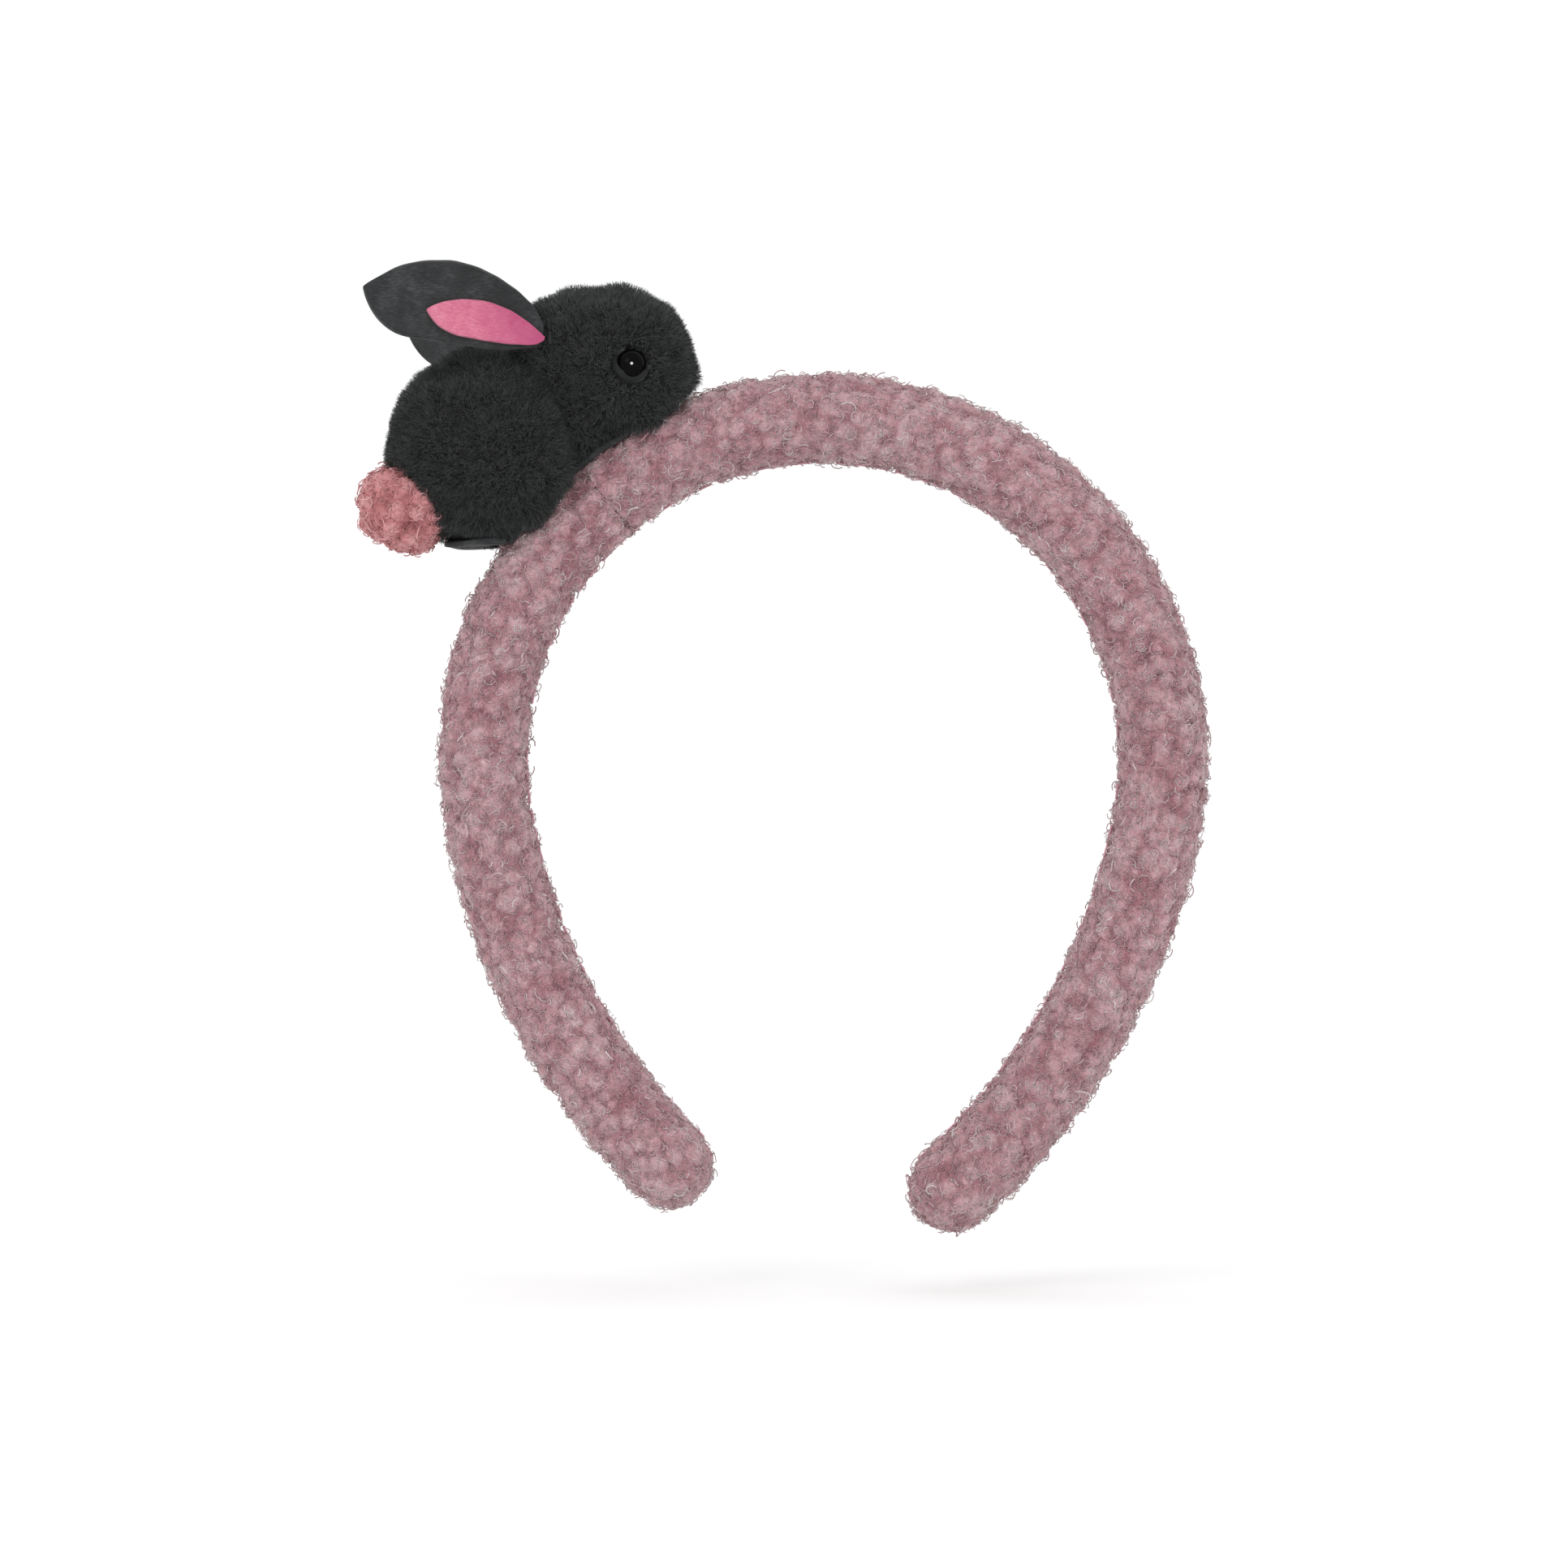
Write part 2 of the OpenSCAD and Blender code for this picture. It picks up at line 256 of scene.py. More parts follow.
def mix_levels(tree, level, *shares):
    """Adds up a level and further values, each times its share."""
    for value, share in shares:
        level = maths(tree, "ADD", level, maths(tree, "MULTIPLY", value, share))
    return level


def vector_maths(tree, operation, a, b):
    return put(tree, "ShaderNodeVectorMath", {0: a, 1: b}, operation=operation)


def wandering(tree, place, scale, far):
    """The place, led astray by up to far, so that cells lose their straight edges."""
    astray = put(tree, "ShaderNodeTexNoise", {"Vector": place, "Scale": scale, "Detail": 2.0})
    return vector_maths(tree, "ADD", place, scaled(tree, astray.outputs["Color"], far)).outputs[0]


def cells(tree, place, scale):
    return put(tree, "ShaderNodeTexVoronoi", {"Vector": place, "Scale": scale}).outputs["Distance"]


def same_each_way(tree, size):
    return put(tree, "ShaderNodeCombineXYZ", {0: size, 1: size, 2: size}).outputs[0]


def join(tree, *parts):
    made = put(tree, "GeometryNodeJoinGeometry")
    for part in parts:
        tree.links.new(part, made.inputs[0])
    return made.outputs[0]


def close_tree(tree, out, geometry, finish):
    """Shades a tree's geometry smooth, gives it its material and hands it over."""
    smooth = put(tree, "GeometryNodeSetShadeSmooth", {"Geometry": geometry}).outputs[0]
    done = put(tree, "GeometryNodeSetMaterial", {"Geometry": smooth, "Material": finish})
    tree.links.new(done.outputs[0], out.inputs[0])
    return tree


def scaled(tree, vector, factor):
    return put(tree, "ShaderNodeVectorMath", {0: vector, "Scale": factor}, operation="SCALE").outputs[0]


def random_number(tree, low, high, seed):
    return put(tree, "FunctionNodeRandomValue", {2: low, 3: high, "Seed": seed}, data_type="FLOAT").outputs[1]


def random_vector(tree, low, high, seed):
    return put(tree, "FunctionNodeRandomValue", {0: low, 1: high, "Seed": seed},
               data_type="FLOAT_VECTOR").outputs[0]


def keep_value(tree, geometry, name, value, domain="POINT"):
    """Leaves a value on the mesh for its material to read."""
    made = put(tree, "GeometryNodeStoreNamedAttribute", {"Geometry": geometry, "Name": name},
               data_type="FLOAT", domain=domain)
    target = next(s for s in made.inputs if s.name == "Value" and s.enabled)
    if isinstance(value, bpy.types.NodeSocket):
        tree.links.new(value, target)
    else:
        target.default_value = value
    return made.outputs["Geometry"]


def height_above(tree):
    """Each point's own height, along Z."""
    place = put(tree, "GeometryNodeInputPosition").outputs[0]
    return put(tree, "ShaderNodeSeparateXYZ", {0: place}).outputs["Z"]


def yarn(tree, curve, radius):
    """A thin yarn along a curve, with its height kept as the value tip."""
    ring = put(tree, "GeometryNodeCurvePrimitiveCircle", {"Resolution": 3, "Radius": radius}).outputs["Curve"]
    made = put(tree, "GeometryNodeCurveToMesh", {"Curve": curve, "Profile Curve": ring}).outputs["Mesh"]
    return keep_value(tree, made, "tip", height_above(tree))


def spiral(tree, turns, start, end, rise, steps):
    return put(tree, "GeometryNodeCurveSpiral",
               {"Resolution": steps, "Rotations": turns, "Start Radius": start, "End Radius": end,
                "Height": rise}).outputs["Curve"]


def turned(tree, geometry, angles, lift):
    return put(tree, "GeometryNodeTransform", {"Geometry": geometry, "Rotation": angles,
                                               "Translation": (0, 0, lift)}).outputs["Geometry"]


def grow(piece, tree, **values):
    """Runs a tree on a piece and keeps the result as a plain mesh."""
    growth = piece.modifiers.new("growth", "NODES")
    growth.node_group = tree
    for item in tree.interface.items_tree:
        label = item.name.replace(" ", "_")
        if item.in_out == "INPUT" and label in values:
            growth[item.identifier] = values[label]
    seen = piece.evaluated_get(bpy.context.evaluated_depsgraph_get())
    mesh = bpy.data.meshes.new_from_object(seen)
    mesh.name = piece.name
    piece.modifiers.remove(growth)
    piece.data = mesh
    return piece


def fleece_tree():
    """Raises a skin in soft lobes and covers it with ringlets, hooks and stray loops of yarn."""
    tree, given, out = new_tree("teddy_fleece", Lobe_Size="Float", Lobe_Height="Float", Curl_Spacing="Float",
                                Curl_Radius="Float", Yarn_Radius="Float", Seed="Int", Finish="Material")
    place = put(tree, "GeometryNodeInputPosition").outputs[0]
    normal = put(tree, "GeometryNodeInputNormal").outputs[0]
    stray = wandering(tree, place, 300.0, 0.0030)
    lobes = cells(tree, stray, maths(tree, "DIVIDE", 1.0, given["Lobe Size"]))
    hollow = maths(tree, "POWER", maths(tree, "MULTIPLY", lobes, 1.35), 2.0)
    dome = put(tree, "ShaderNodeClamp", {"Value": maths(tree, "SUBTRACT", 1.0, hollow)}).outputs[0]
    ringlets = cells(tree, stray, maths(tree, "DIVIDE", 0.75, given["Curl Radius"]))
    curly = maths(tree, "SINE", maths(tree, "MULTIPLY", ringlets, 11.0))
    lift = maths(tree, "MULTIPLY", maths(tree, "SUBTRACT", dome, 0.55), given["Lobe Height"])
    lift = mix_levels(tree, lift, (curly, maths(tree, "MULTIPLY", given["Yarn Radius"], 1.6)))
    skin = put(tree, "GeometryNodeSetPosition",
               {"Geometry": given["Geometry"], "Offset": scaled(tree, normal, lift)})
    # The material reads dome and tip as painted shade: domes and curl tips lighter, hollows and the skin
    # under the curls darker.
    skin = keep_value(tree, skin.outputs[0], "dome", dome)
    skin = keep_value(tree, skin, "tone", 0.35)
    base = keep_value(tree, skin, "tip", -0.4)

    points = put(tree, "GeometryNodeDistributePointsOnFaces",
                 {"Mesh": skin, "Distance Min": given["Curl Spacing"], "Density Max": 3.0e6,
                  "Seed": given["Seed"]},
                 distribute_method="POISSON")
    thread = maths(tree, "DIVIDE", given["Yarn Radius"], given["Curl Radius"])
    curls = [
        yarn(tree, spiral(tree, 1.25, 1.0, 0.45, 0.30, 8), thread),
        turned(tree, yarn(tree, spiral(tree, 0.9, 0.8, 0.7, 0.35, 9), thread), (0.7, 0, 0), 0.1),
        turned(tree, yarn(tree, spiral(tree, 0.6, 1.1, 0.6, 0.2, 10), thread), (0.25, 0.2, 0), 0.0),
        turned(tree, yarn(tree, spiral(tree, 0.42, 1.5, 1.1, 0.5, 13), thread), (-0.3, 0.2, 0), 0.05),
    ]
    kinds = put(tree, "GeometryNodeGeometryToInstance")
    for curl in reversed(curls):
        tree.links.new(curl, kinds.inputs[0])
    kind = put(tree, "FunctionNodeRandomValue", {4: 0, 5: len(curls) - 1, "Seed": 3},
               data_type="INT").outputs[2]
    wide_apart = maths(tree, "MULTIPLY", given["Curl Spacing"], 4.6)
    strays = put(tree, "GeometryNodeDistributePointsOnFaces",
                 {"Mesh": skin, "Distance Min": wide_apart, "Density Max": 6.0e4, "Seed": given["Seed"]},
                 distribute_method="POISSON")
    coats = []
    for at, grown, lean, salt in ((points, 1.0, 0.35, 11), (strays, 1.35, 1.0, 41)):
        growth = random_number(tree, 0.6 * grown, 1.3 * grown, salt)
        size = maths(tree, "MULTIPLY", given["Curl Radius"], growth)
        placed = put(tree, "GeometryNodeInstanceOnPoints",
                     {"Points": at.outputs["Points"], "Instance": kinds.outputs[0], "Pick Instance": True,
                      "Instance Index": kind, "Rotation": at.outputs["Rotation"],
                      "Scale": same_each_way(tree, size)})
        spun = put(tree, "GeometryNodeRotateInstances",
                   {"Instances": placed.outputs[0],
                    "Rotation": random_vector(tree, (-lean, -lean, 0.0), (lean, lean, 6.28), salt + 10)})
        shade = random_number(tree, 0.0, 1.0, salt + 20)
        coats.append(keep_value(tree, spun.outputs[0], "tone", shade, "INSTANCE"))
    real = put(tree, "GeometryNodeRealizeInstances", {"Geometry": join(tree, *coats)}).outputs[0]
    return close_tree(tree, out, join(tree, real, base), given["Finish"])


def kept(tree, name):
    """Reads a value that a tree left on the mesh."""
    return put(tree, "ShaderNodeAttribute", attribute_name=name).outputs["Fac"]


pink_fleece, tree, shader, place = material(
    "pink_fleece", Roughness=0.62, Specular_IOR_Level=0.7, Sheen_Weight=0.6, Sheen_Roughness=0.35,
    Sheen_Tint=(0.60, 0.61, 0.61, 1))
# Curls of high random tone are lightened towards near white: part their own random tone, part painted glint.
tone_and_painted_glint = maths(tree, "POWER", kept(tree, "tone"), 2.5)
# Ring pattern of the ringlets: in the bump it gives relief; its small share in the colour is painted ring
# highlights.
ringlets = cells(tree, wandering(tree, place, 700.0, 0.0011), 780.0)
rings = maths(tree, "SINE", maths(tree, "MULTIPLY", ringlets, 17.0))
# Colour level: domes and curl tips lighter, hollows and the skin under the curls darker, which is painted
# shade; the noise patches are the fleece's own uneven tone.
level = mix_levels(tree, maths(tree, "MULTIPLY", kept(tree, "dome"), 0.20),
                   (tone_and_painted_glint, 0.36), (kept(tree, "tip"), 0.12), (noise(tree, place, 90), 0.40),
                   (noise(tree, place, 900, 4.0, 0.7), 0.26), (rings, 0.045))
colour_from(tree, shader, level, (0.24, (0.36, 0.145, 0.170)), (0.46, (0.53, 0.300, 0.325)),
            (0.64, (0.61, 0.450, 0.460)), (0.82, (0.74, 0.64, 0.65)), (1.0, (0.95, 0.92, 0.92)))
height = maths(tree, "ADD", maths(tree, "MULTIPLY", rings, 0.4), noise(tree, place, 2200, 4.0, 0.7))
bump(tree, shader, height, 0.8, 0.00030)

fleece = fleece_tree()
flex_angle = math.radians(65)
flex_spread = 0.17


def bend_at_arm(piece, side):
    """Bakes a piece's placement into its mesh; it finds the crown's points each side of where that arm
    flexes, but bends nothing.
    """
    above, below = (band_frame(side, crown_r * (flex_angle + d))[0] for d in (-flex_spread, flex_spread))
    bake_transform(piece)


for side, word in sides.items():
    cover = tube_of_rings("fleece_cover_" + word, cover_rings(side), pink_fleece)
    grow(cover, fleece, Lobe_Size=0.0034, Lobe_Height=0.0013, Curl_Spacing=0.00098, Curl_Radius=0.00085,
         Yarn_Radius=0.00010, Seed=5 + side, Finish=pink_fleece)
    bend_at_arm(cover, side)
    if side < 0:
        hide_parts("cover_left_arm")
    else:
        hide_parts("cover_crown", "cover_right_arm")


# ---------------------------------------------------------------- foam
# A sleeve of open-cell foam is slipped over the strip and gives the band its round fullness.
# It is cut from white sheet with a slot for the strip, and is hidden by the cover.

open_foam, tree, shader, place = material("open_foam", Roughness=0.95)
bubbles = cells(tree, place, 1400)
colour_from(tree, shader, bubbles, (0.1, (0.52, 0.50, 0.44)), (0.6, (0.80, 0.79, 0.74)))
bump(tree, shader, bubbles, 0.6, 0.0004)
foam_deep, foam_wide = 0.0068, 0.0080
slot_deep, slot_wide = 0.0013, 0.0060
foam_points = 72


def foam_ring(side, run, deep, wide, square):
    """One outline across the sleeve: round where square is 1, close to a box where it is small."""
    point, out, on = band_frame(side, run)
    ring = []
    for j in range(foam_points):
        a = math.tau * j / foam_points
        up, across = (math.copysign(abs(v) ** square, v) for v in (math.cos(a), math.sin(a)))
        ring.append(point + out * deep * up + Vector((0, wide * across, 0)))
    return ring


def foam_sleeve(side):
    """Rings out along the sleeve and back through its slot, closed into one skin."""
    start, end = -side * join_at, band_length(side) - 0.0005
    stops = np.linspace(start, end, 140)
    rings = [foam_ring(side, run, foam_deep, foam_wide, 1) for run in stops]
    rings += [foam_ring(side, run, slot_deep, slot_wide, 0.5) for run in stops[::-1]]
    points = [p for ring in rings for p in ring]
    faces = []
    for i in range(len(rings)):
        this, later = i * foam_points, (i + 1) % len(rings) * foam_points
        for j in range(foam_points):
            k = (j + 1) % foam_points
            faces.append((this + j, this + k, later + k, later + j))
    return points, faces


for side, word in sides.items():
    sleeve = mesh_piece("foam_sleeve_" + word, *foam_sleeve(side), open_foam)
    bend_at_arm(sleeve, side)
    if side < 0:
        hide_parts("foam_left_arm")
    else:
        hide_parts("foam_crown", "foam_right_arm")


# ---------------------------------------------------------------- rabbit pompoms
# Body, head and tail are pompoms: yarn bound at the core, cut, brushed out and trimmed to shape.
# Body and head are dark grey, the tail is curlier dusty pink, and all are parted where they meet the band.

mm = 0.001
body_at = Vector((-68.1, 0, 3.9)) * mm
body_r = 19.5 * mm
pile = 2.1 * mm


def band_clear(point):
    """Moves a point off the band: over the felt strip on its outer side, close to the fleece beside it."""
    middle = Vector((0, 0, crown_z))
    out = (Vector((point.x, 0, point.z)) - middle).normalized()
    line = middle + out * crown_r
    away = point - line
    lean = math.degrees(math.atan2(abs(away.y), away.dot(out)))
    over_strip = min(1.0, max(0.0, (58 - lean) / 14))
    space = 0.0100 + 0.0019 * over_strip
    if away.length < space:
        return line + away.normalized() * space
    return point


def lumps(at, size, height):
    """Soft unevenness left by the scissors."""
    return height * (smooth_random.noise(at / size) + 0.5 * smooth_random.noise(at / (0.45 * size)))


def blob(name, centre, reach, finish, detail=5, clear=()):
    """A closed skin at reach(direction) from centre, parted round the band and round other balls."""
    work = bmesh.new()
    bmesh.ops.create_icosphere(work, subdivisions=detail, radius=1)
    for v in work.verts:
        way = v.co.normalized()
        point = centre + way * reach(way)
        point = band_clear(point + way * lumps(point, 0.0058, 0.0014))
        for other, radius in clear:
            away = point - other
            if away.length < radius:
                point = other + away.normalized() * radius
        v.co = point
    mesh = bpy.data.meshes.new(name)
    work.to_mesh(mesh)
    work.free()
    mesh.materials.append(finish)
    mesh.shade_smooth()
    return placed_in_scene(name, mesh)


def union_reach(centre, balls, soft=14.0):
    """The distance to the skin of several balls joined smoothly, from a centre inside all of them."""
    def reach(way):
        total = 0.0
        for at, radius in balls:
            to = at - centre
            along = way.dot(to)
            inside = along * along - to.length_squared + radius * radius
            if inside > 0:
                total += ((along + math.sqrt(inside)) / body_r) ** soft
        return total ** (1 / soft) * body_r
    return reach


def pile_tree():
    """Stands tapered strands on a core, in small clumps that lean together."""
    tree, given, out = new_tree("cut_pile", Strand_Length="Float", Strand_Radius="Float", Density="Float",
                                Clump_Size="Float", Lean="Float", Bead_Right="Vector", Bead_Left="Vector",
                                Bead_Room="Float", Seed="Int", Finish="Material")
    place = put(tree, "GeometryNodeInputPosition").outputs[0]
    density = given["Density"]
    for bead in ("Bead Right", "Bead Left"):
        far = vector_maths(tree, "DISTANCE", place, given[bead]).outputs["Value"]
        density = maths(tree, "MULTIPLY", density, maths(tree, "GREATER_THAN", far, given["Bead Room"]))
    # The core and the strands keep tip, which the material reads as painted shade: darker at the root,
    # lighter at the tip.
    core = keep_value(tree, keep_value(tree, given["Geometry"], "tip", 0.0), "tone", 0.2)
    points = put(tree, "GeometryNodeDistributePointsOnFaces",
                 {"Mesh": core, "Density": density, "Seed": given["Seed"]}, distribute_method="RANDOM")
    strand = put(tree, "GeometryNodeMeshCone",
                 {"Vertices": 3, "Side Segments": 1, "Radius Top": 0.3, "Radius Bottom": 1.0, "Depth": 1.0},
                 fill_type="NONE").outputs["Mesh"]
    strand = keep_value(tree, strand, "tip", height_above(tree))
    clump_scale = maths(tree, "DIVIDE", 1.0, given["Clump Size"])
    coarse = put(tree, "ShaderNodeTexNoise", {"Vector": place, "Scale": clump_scale, "Detail": 1.0}).outputs
    centred = vector_maths(tree, "SUBTRACT", coarse["Color"], (0.5, 0.5, 0.5)).outputs[0]
    share = mix_levels(tree, random_number(tree, 0.80, 1.08, 5), (coarse["Fac"], 0.22))
    tall = maths(tree, "MULTIPLY", share, given["Strand Length"])
    wide = maths(tree, "MULTIPLY", given["Strand Radius"], random_number(tree, 0.7, 1.25, 8))
    size = put(tree, "ShaderNodeCombineXYZ", {0: wide, 1: wide, 2: tall}).outputs[0]
    placed = put(tree, "GeometryNodeInstanceOnPoints",
                 {"Points": points.outputs["Points"], "Rotation": points.outputs["Rotation"],
                  "Instance": strand, "Scale": size})
    leaning = scaled(tree, centred, given["Lean"])
    combed = put(tree, "GeometryNodeRotateInstances",
                 {"Instances": placed.outputs[0], "Rotation": leaning, "Local Space": True})
    loose = put(tree, "GeometryNodeRotateInstances",
                {"Instances": combed.outputs[0],
                 "Rotation": random_vector(tree, (-0.6, -0.6, 0.0), (0.6, 0.6, 6.28), 17)})
    toned = keep_value(tree, loose.outputs[0], "tone", random_number(tree, 0.0, 1.0, 23), "INSTANCE")
    real = put(tree, "GeometryNodeRealizeInstances", {"Geometry": toned}).outputs[0]
    return close_tree(tree, out, join(tree, real, core), given["Finish"])


def share_along(tree, place, axis, low, high):
    """0 before low and 1 past high, along one axis."""
    value = put(tree, "ShaderNodeSeparateXYZ", {0: place}).outputs[axis]
    return put(tree, "ShaderNodeMapRange", {"Value": value, "From Min": low, "From Max": high}).outputs[0]


dark_pile, tree, shader, place = material(
    "dark_pile", Roughness=0.8, Sheen_Weight=0.44, Sheen_Roughness=0.35, Sheen_Tint=(0.75, 0.78, 0.78, 1))
# Colour level: strands darker at the root and on the core, lighter at the tip, which is painted shade deep in
# the pile; random strand tone and noise patches are the pile's own.
level = mix_levels(tree, maths(tree, "MULTIPLY", kept(tree, "tip"), 0.5),
                   (kept(tree, "tone"), 0.3), (noise(tree, place, 180), 0.3),
                   # The pile lightens towards the top of the head: painted highlight, standing in for light
                   # through the fuzz at its rim.
                   (share_along(tree, place, "Z", 0.026, 0.037), 0.40))
colour_from(tree, shader, level, (0.1, (0.001, 0.0015, 0.0015)), (0.55, (0.003, 0.0048, 0.0045)),
            (1.0, (0.046, 0.052, 0.051)))
rose_pile, tree, shader, place = material(
    "rose_pile", Roughness=0.65, Sheen_Weight=0.4, Sheen_Roughness=0.4, Sheen_Tint=(0.62, 0.50, 0.50, 1))
# Colour level: lobe domes lighter and hollows darker, which is painted shade, plus each curl's own random
# tone and noise patches.
dome_shade_and_tone = maths(tree, "ADD", kept(tree, "dome"), kept(tree, "tone"))
level = mix_levels(tree, maths(tree, "MULTIPLY", dome_shade_and_tone, 0.3), (noise(tree, place, 260), 0.42))
colour_from(tree, shader, level, (0.12, (0.33, 0.09, 0.10)), (0.5, (0.55, 0.22, 0.23)),
            (0.9, (0.74, 0.45, 0.45)))
bump(tree, shader, noise(tree, place, 2600, 3.0), 0.4, 0.00012)
cut_pile = pile_tree()

face_at, face_r = Vector((-42.6, 0, 20.4)) * mm, 16.0 * mm
brow_at, brow_r = Vector((-38.6, 0, 22.6)) * mm, 11.6 * mm
nape_at, nape_r = Vector((-50.5, 0, 21.9)) * mm, 13.4 * mm
nose_at, nose_r = Vector((-35.2, 0, 18.0)) * mm, 10.6 * mm
tail_at, tail_r = Vector((-83.6, -4, -8.6)) * mm, 8.6 * mm
skull = (face_at + nape_at) / 2
eye_seat = Vector((-42, 0, 19.6)) * mm
eye_look = Vector((4.3, 15.9, -0.5)).normalized()
eye_out = 14.7
eye_ways = [Vector((eye_look.x, side * eye_look.y, eye_look.z)) for side in sides]
beads_at = [eye_seat + way * eye_out * mm for way in eye_ways]


def skin_of(balls):
    """The balls less the depth of the pile that will stand on them."""
    return [(at, radius - pile) for at, radius in balls]


def pair_below(at, drop, apart, radius):
    """Two balls beside each other, dropped from a point towards the middle of the crown."""
    down = (Vector((0, 0, crown_z)) - at).normalized()
    return [(at + down * drop * mm + Vector((0, y, 0)) * mm, radius * mm) for y in (-apart, apart)]


haunch = (body_at + Vector((-4.2, 0, -4.3)) * mm, 15.2 * mm)
chest = (Vector((-50.0, 0, 9.5)) * mm, 12.2 * mm)
body_balls = [(body_at, body_r)] + pair_below(body_at, 5.0, 6, 15.8) + [haunch]
head_balls = [(face_at, face_r), (nape_at, nape_r), (nose_at, nose_r), (brow_at, brow_r), chest]
head_balls += pair_below(face_at, 3.8, 3.4, 13.2)
body_parting = (body_at, body_r - 0.4 * pile)
eye_hollows = [(at, 3.9 * mm) for at in beads_at]
body = blob("rabbit_body", body_at, union_reach(body_at, skin_of(body_balls)), dark_pile)
head = blob("rabbit_head", skull, union_reach(skull, skin_of(head_balls)), dark_pile,
            clear=[body_parting] + eye_hollows)
tail = blob("rabbit_tail", tail_at, lambda way: tail_r + 0.2 * mm, rose_pile, 6, [body_parting])
for piece in (body, head):
    grow(piece, cut_pile, Strand_Length=pile, Strand_Radius=0.000085, Density=1.35e7,
         Clump_Size=0.0030, Lean=2.2, Bead_Right=beads_at[0], Bead_Left=beads_at[1], Bead_Room=0.0042,
         Seed=9, Finish=dark_pile)
grow(tail, fleece, Lobe_Size=0.0034, Lobe_Height=0.0012, Curl_Spacing=0.00085, Curl_Radius=0.00085,
     Yarn_Radius=0.00012, Seed=9, Finish=rose_pile)
for piece, node, spot in ((body, "body_pompom", "dark_pile"), (head, "head_pompom", "dark_pile"),
                          (tail, "tail_pompom", "pink_pile")):
    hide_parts(node)
    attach(piece, "crown")


# ---------------------------------------------------------------- ears
# Each ear is a leaf of dark pressed felt with a smaller leaf of pink felt glued inside it.
# It is cupped along its length, pinched at the root and hot-glued into the head's pile.

ear_cup = 0.016
ear_crease = 0.002
ear_root = Vector((-55.4, -11.7, 24.5)) * mm
# How far each leaf is cut above and below the line from its root, from root to tip, in mm.
ear_cut = [(0.6, -1.2, 1.6), (1.4, -2.8, 2.3), (4.1, -4.8, 3.5), (7.0, -6.0, 4.6), (10.4, -6.9, 5.4),
           (14.0, -7.5, 6.1), (17.9, -7.8, 6.9), (22.9, -7.5, 7.8), (27.4, -6.2, 8.6), (30.5, -4.8, 8.4),
           (32.9, -3.2, 7.5), (35.4, -0.8, 5.6), (37.0, 0.9, 3.8), (37.9, 2.0, 2.4)]
lining_cut = [(0.2, -0.3, 0.5), (1.5, -0.9, 1.8), (4.7, -2.1, 3.0), (8.6, -2.95, 4.0), (13.8, -3.0, 4.9),
              (18.3, -1.9, 5.4), (21.5, -0.4, 4.8), (23.6, 1.2, 3.6), (24.6, 2.2, 2.7)]


def ear_place(side, rise, splay):
    """Where an ear's leaf is glued: it rises and splays in degrees, and the left ear mirrors the right."""
    turn = (Matrix.Rotation(math.radians(splay), 4, "Z") @ Matrix.Rotation(math.radians(180 + rise), 4, "Y")
            @ Matrix.Rotation(math.pi / 2, 4, "X"))
    flip = Matrix.Scale(-1, 4, (0, 1, 0)) if side > 0 else Matrix.Identity(4)
    return flip @ Matrix.Translation(ear_root) @ turn


def closed_sheet(name, points, rows, width, finish):
    """Joins two equal grids of points, one after the other, into one closed skin."""
    faces = []
    layer = (rows + 1) * width
    for i in range(rows):
        for j in range(width - 1):
            a = i * width + j
            faces.append((a, a + 1, a + width + 1, a + width))
            faces.append((a + layer, a + layer + width, a + layer + width + 1, a + layer + 1))
    rim = [j for j in range(width)]
    rim += [i * width + width - 1 for i in range(1, rows + 1)]
    rim += [rows * width + j for j in range(width - 2, -1, -1)]
    rim += [i * width for i in range(rows - 1, 0, -1)]
    for a, b in zip(rim, rim[1:] + rim[:1]):
        faces.append((a, a + layer, b + layer, b))
    return mesh_piece(name, points, faces, finish)


def smooth_cut(u, along, across):
    """A smooth line through the cut's points."""
    i = int(np.clip(np.searchsorted(along, u) - 1, 0, len(along) - 2))
    before, after = max(i - 1, 0), min(i + 2, len(along) - 1)
    slope = [(across[b] - across[a]) / (along[b] - along[a]) for a, b in ((before, i + 1), (i, after))]
    step = along[i + 1] - along[i]
    t = (u - along[i]) / step
    return ((2 * t ** 3 - 3 * t ** 2 + 1) * across[i] + (t ** 3 - 2 * t ** 2 + t) * step * slope[0]
            + (3 * t ** 2 - 2 * t ** 3) * across[i + 1] + (t ** 3 - t ** 2) * step * slope[1])


def felt_leaf(name, place, cut, lift, thick, finish, rows, width):
    """A leaf of felt cut along smooth lines, cupped along its length, with a soft wave in its free edge."""
    crease_sag = ear_cup - math.sqrt(ear_cup ** 2 - ear_crease ** 2)
    along, above, below = (np.array(column) for column in zip(*cut))
    points = []
    for skin in (0, 1):
        for i in range(rows + 1):
            u = along[0] + (along[-1] - along[0]) * (0.5 - 0.5 * math.cos(math.pi * i / rows))
            up, down = (smooth_cut(u, along, side) for side in (above, below))
            for j in range(width):
                v = up + (down - up) * j / (width - 1)
                v = (v + 0.03 * math.sin(1.3 * u + 0.3 * j)) * mm
                deep = math.sqrt(ear_cup ** 2 - (v - ear_crease) ** 2)
                sag = ear_cup - deep - crease_sag
                wave = 0.00045 * math.sin(0.23 * u + 0.8) * (v / 0.008)
                away = Vector((0, (v - ear_crease) / ear_cup, -deep / ear_cup))
                points.append(place @ (Vector((u * mm, v, sag + wave)) + away * (skin * thick - lift)))
    return closed_sheet(name, points, rows, width, finish)


